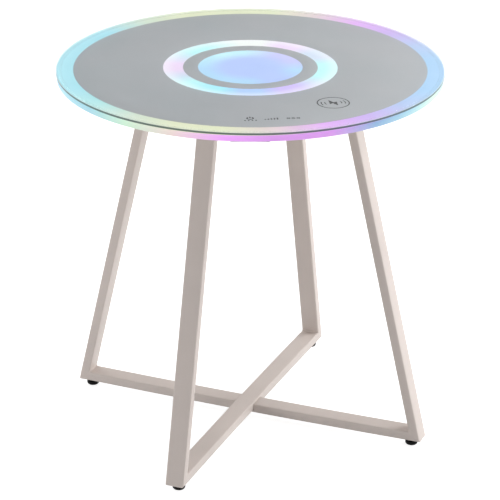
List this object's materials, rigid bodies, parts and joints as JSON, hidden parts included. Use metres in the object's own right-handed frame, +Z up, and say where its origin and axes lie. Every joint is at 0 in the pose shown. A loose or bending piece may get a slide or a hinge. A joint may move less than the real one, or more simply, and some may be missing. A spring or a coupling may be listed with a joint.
{
  "type": "light up side table",
  "caption": "Round side table: a glass top with glowing ring windows and a glowing rim, on two crossed steel tube frames with screw feet.",
  "frame": {"origin": "on the floor under the middle of the table, with the four screw feet wound in", "axes": "+Z up; X along the lower crossing bar from the left foot to the right foot; Y along the upper crossing bar from the front foot to the back foot"},
  "size_m": [0.6, 0.6, 0.597],
  "materials": {
    "clear_glass": "clear tempered glass with ground and polished edges",
    "grey_print": "smooth silver grey print on film",
    "clear_seal": "clear soft seal",
    "opal_plate": "opal acrylic, lit from behind in soft changing colours",
    "frosted_rim": "frosted acrylic, lit from behind in soft changing colours",
    "white_tray": "moulded white plastic, satin",
    "plain_board": "fibreboard with a sealed face",
    "strip_white": "white flexible light strip",
    "circuit_green": "circuit board with green solder mask",
    "copper_coil": "enamelled copper wire, wound flat",
    "dark_ferrite": "dark ferrite, matt",
    "black_plastic": "moulded black plastic, fine grain",
    "frame_paint": "warm greige powder coat, satin",
    "zinc": "bright zinc plated steel",
    "black_pad": "moulded black pad, smooth"
  },
  "bodies": {
    "table": {"glass_top": "clear_glass", "print_film_outer": "grey_print", "print_film_inner": "grey_print", "edge_seal": "clear_seal", "diffuser_plate": "opal_plate", "rim_light_ring": "frosted_rim", "base_tray": "white_tray", "base_board": "plain_board", "tray_screw_1": "zinc", "tray_screw_2": "zinc", "tray_screw_3": "zinc", "tray_screw_4": "zinc", "led_strip_rim": "strip_white", "led_strip_outer": "strip_white", "led_strip_inner": "strip_white", "led_board_centre": "strip_white", "touch_board": "circuit_green", "charging_board": "circuit_green", "charging_ferrite": "dark_ferrite", "charging_coil": "copper_coil", "control_box": "black_plastic", "control_board": "circuit_green", "control_box_screw_inner": "zinc", "control_box_screw_outer": "zinc", "dc_inlet": "black_plastic", "leg_right": "frame_paint", "leg_back": "frame_paint", "leg_left": "frame_paint", "leg_front": "frame_paint", "bar_a": "frame_paint", "bar_b": "frame_paint", "cross_bolt": "zinc", "cross_nut": "zinc", "top_plate_right": "frame_paint", "top_plate_back": "frame_paint", "top_plate_left": "frame_paint", "top_plate_front": "frame_paint", "plate_screw_right_1": "zinc", "plate_screw_right_2": "zinc", "plate_screw_back_1": "zinc", "plate_screw_back_2": "zinc", "plate_screw_left_1": "zinc", "plate_screw_left_2": "zinc", "plate_screw_front_1": "zinc", "plate_screw_front_2": "zinc", "foot_nut_right": "zinc", "foot_nut_back": "zinc", "foot_nut_left": "zinc", "foot_nut_front": "zinc"},
    "pad_right": {"foot_pad_right": "black_pad"},
    "pad_back": {"foot_pad_back": "black_pad"},
    "pad_left": {"foot_pad_left": "black_pad"},
    "pad_front": {"foot_pad_front": "black_pad"},
    "stud_right": {"foot_stud_right": "zinc"},
    "stud_back": {"foot_stud_back": "zinc"},
    "stud_left": {"foot_stud_left": "zinc"},
    "stud_front": {"foot_stud_front": "zinc"}
  },
  "joints": [
    {"name": "foot_height_right", "type": "slide", "parent": "table", "child": "pad_right", "axis": [0, 0, -1], "range_m": [0, 0.006]},
    {"name": "foot_screw_right", "type": "hinge", "parent": "pad_right", "child": "stud_right", "pos_m": [0.2815, 0, 0], "axis": [0, 0, -1], "range_deg": [0, 2160]},
    {"name": "foot_height_back", "type": "slide", "parent": "table", "child": "pad_back", "axis": [0, 0, -1], "range_m": [0, 0.006]},
    {"name": "foot_screw_back", "type": "hinge", "parent": "pad_back", "child": "stud_back", "pos_m": [0, 0.2815, 0], "axis": [0, 0, -1], "range_deg": [0, 2160]},
    {"name": "foot_height_left", "type": "slide", "parent": "table", "child": "pad_left", "axis": [0, 0, -1], "range_m": [0, 0.006]},
    {"name": "foot_screw_left", "type": "hinge", "parent": "pad_left", "child": "stud_left", "pos_m": [-0.2815, 0, 0], "axis": [0, 0, -1], "range_deg": [0, 2160]},
    {"name": "foot_height_front", "type": "slide", "parent": "table", "child": "pad_front", "axis": [0, 0, -1], "range_m": [0, 0.006]},
    {"name": "foot_screw_front", "type": "hinge", "parent": "pad_front", "child": "stud_front", "pos_m": [0, -0.2815, 0], "axis": [0, 0, -1], "range_deg": [0, 2160]}
  ],
  "couplings": [
    {"joint": "foot_screw_right", "follows": "foot_height_right", "rad_per_m": 6283.2},
    {"joint": "foot_screw_back", "follows": "foot_height_back", "rad_per_m": 6283.2},
    {"joint": "foot_screw_left", "follows": "foot_height_left", "rad_per_m": 6283.2},
    {"joint": "foot_screw_front", "follows": "foot_height_front", "rad_per_m": 6283.2}
  ]
}
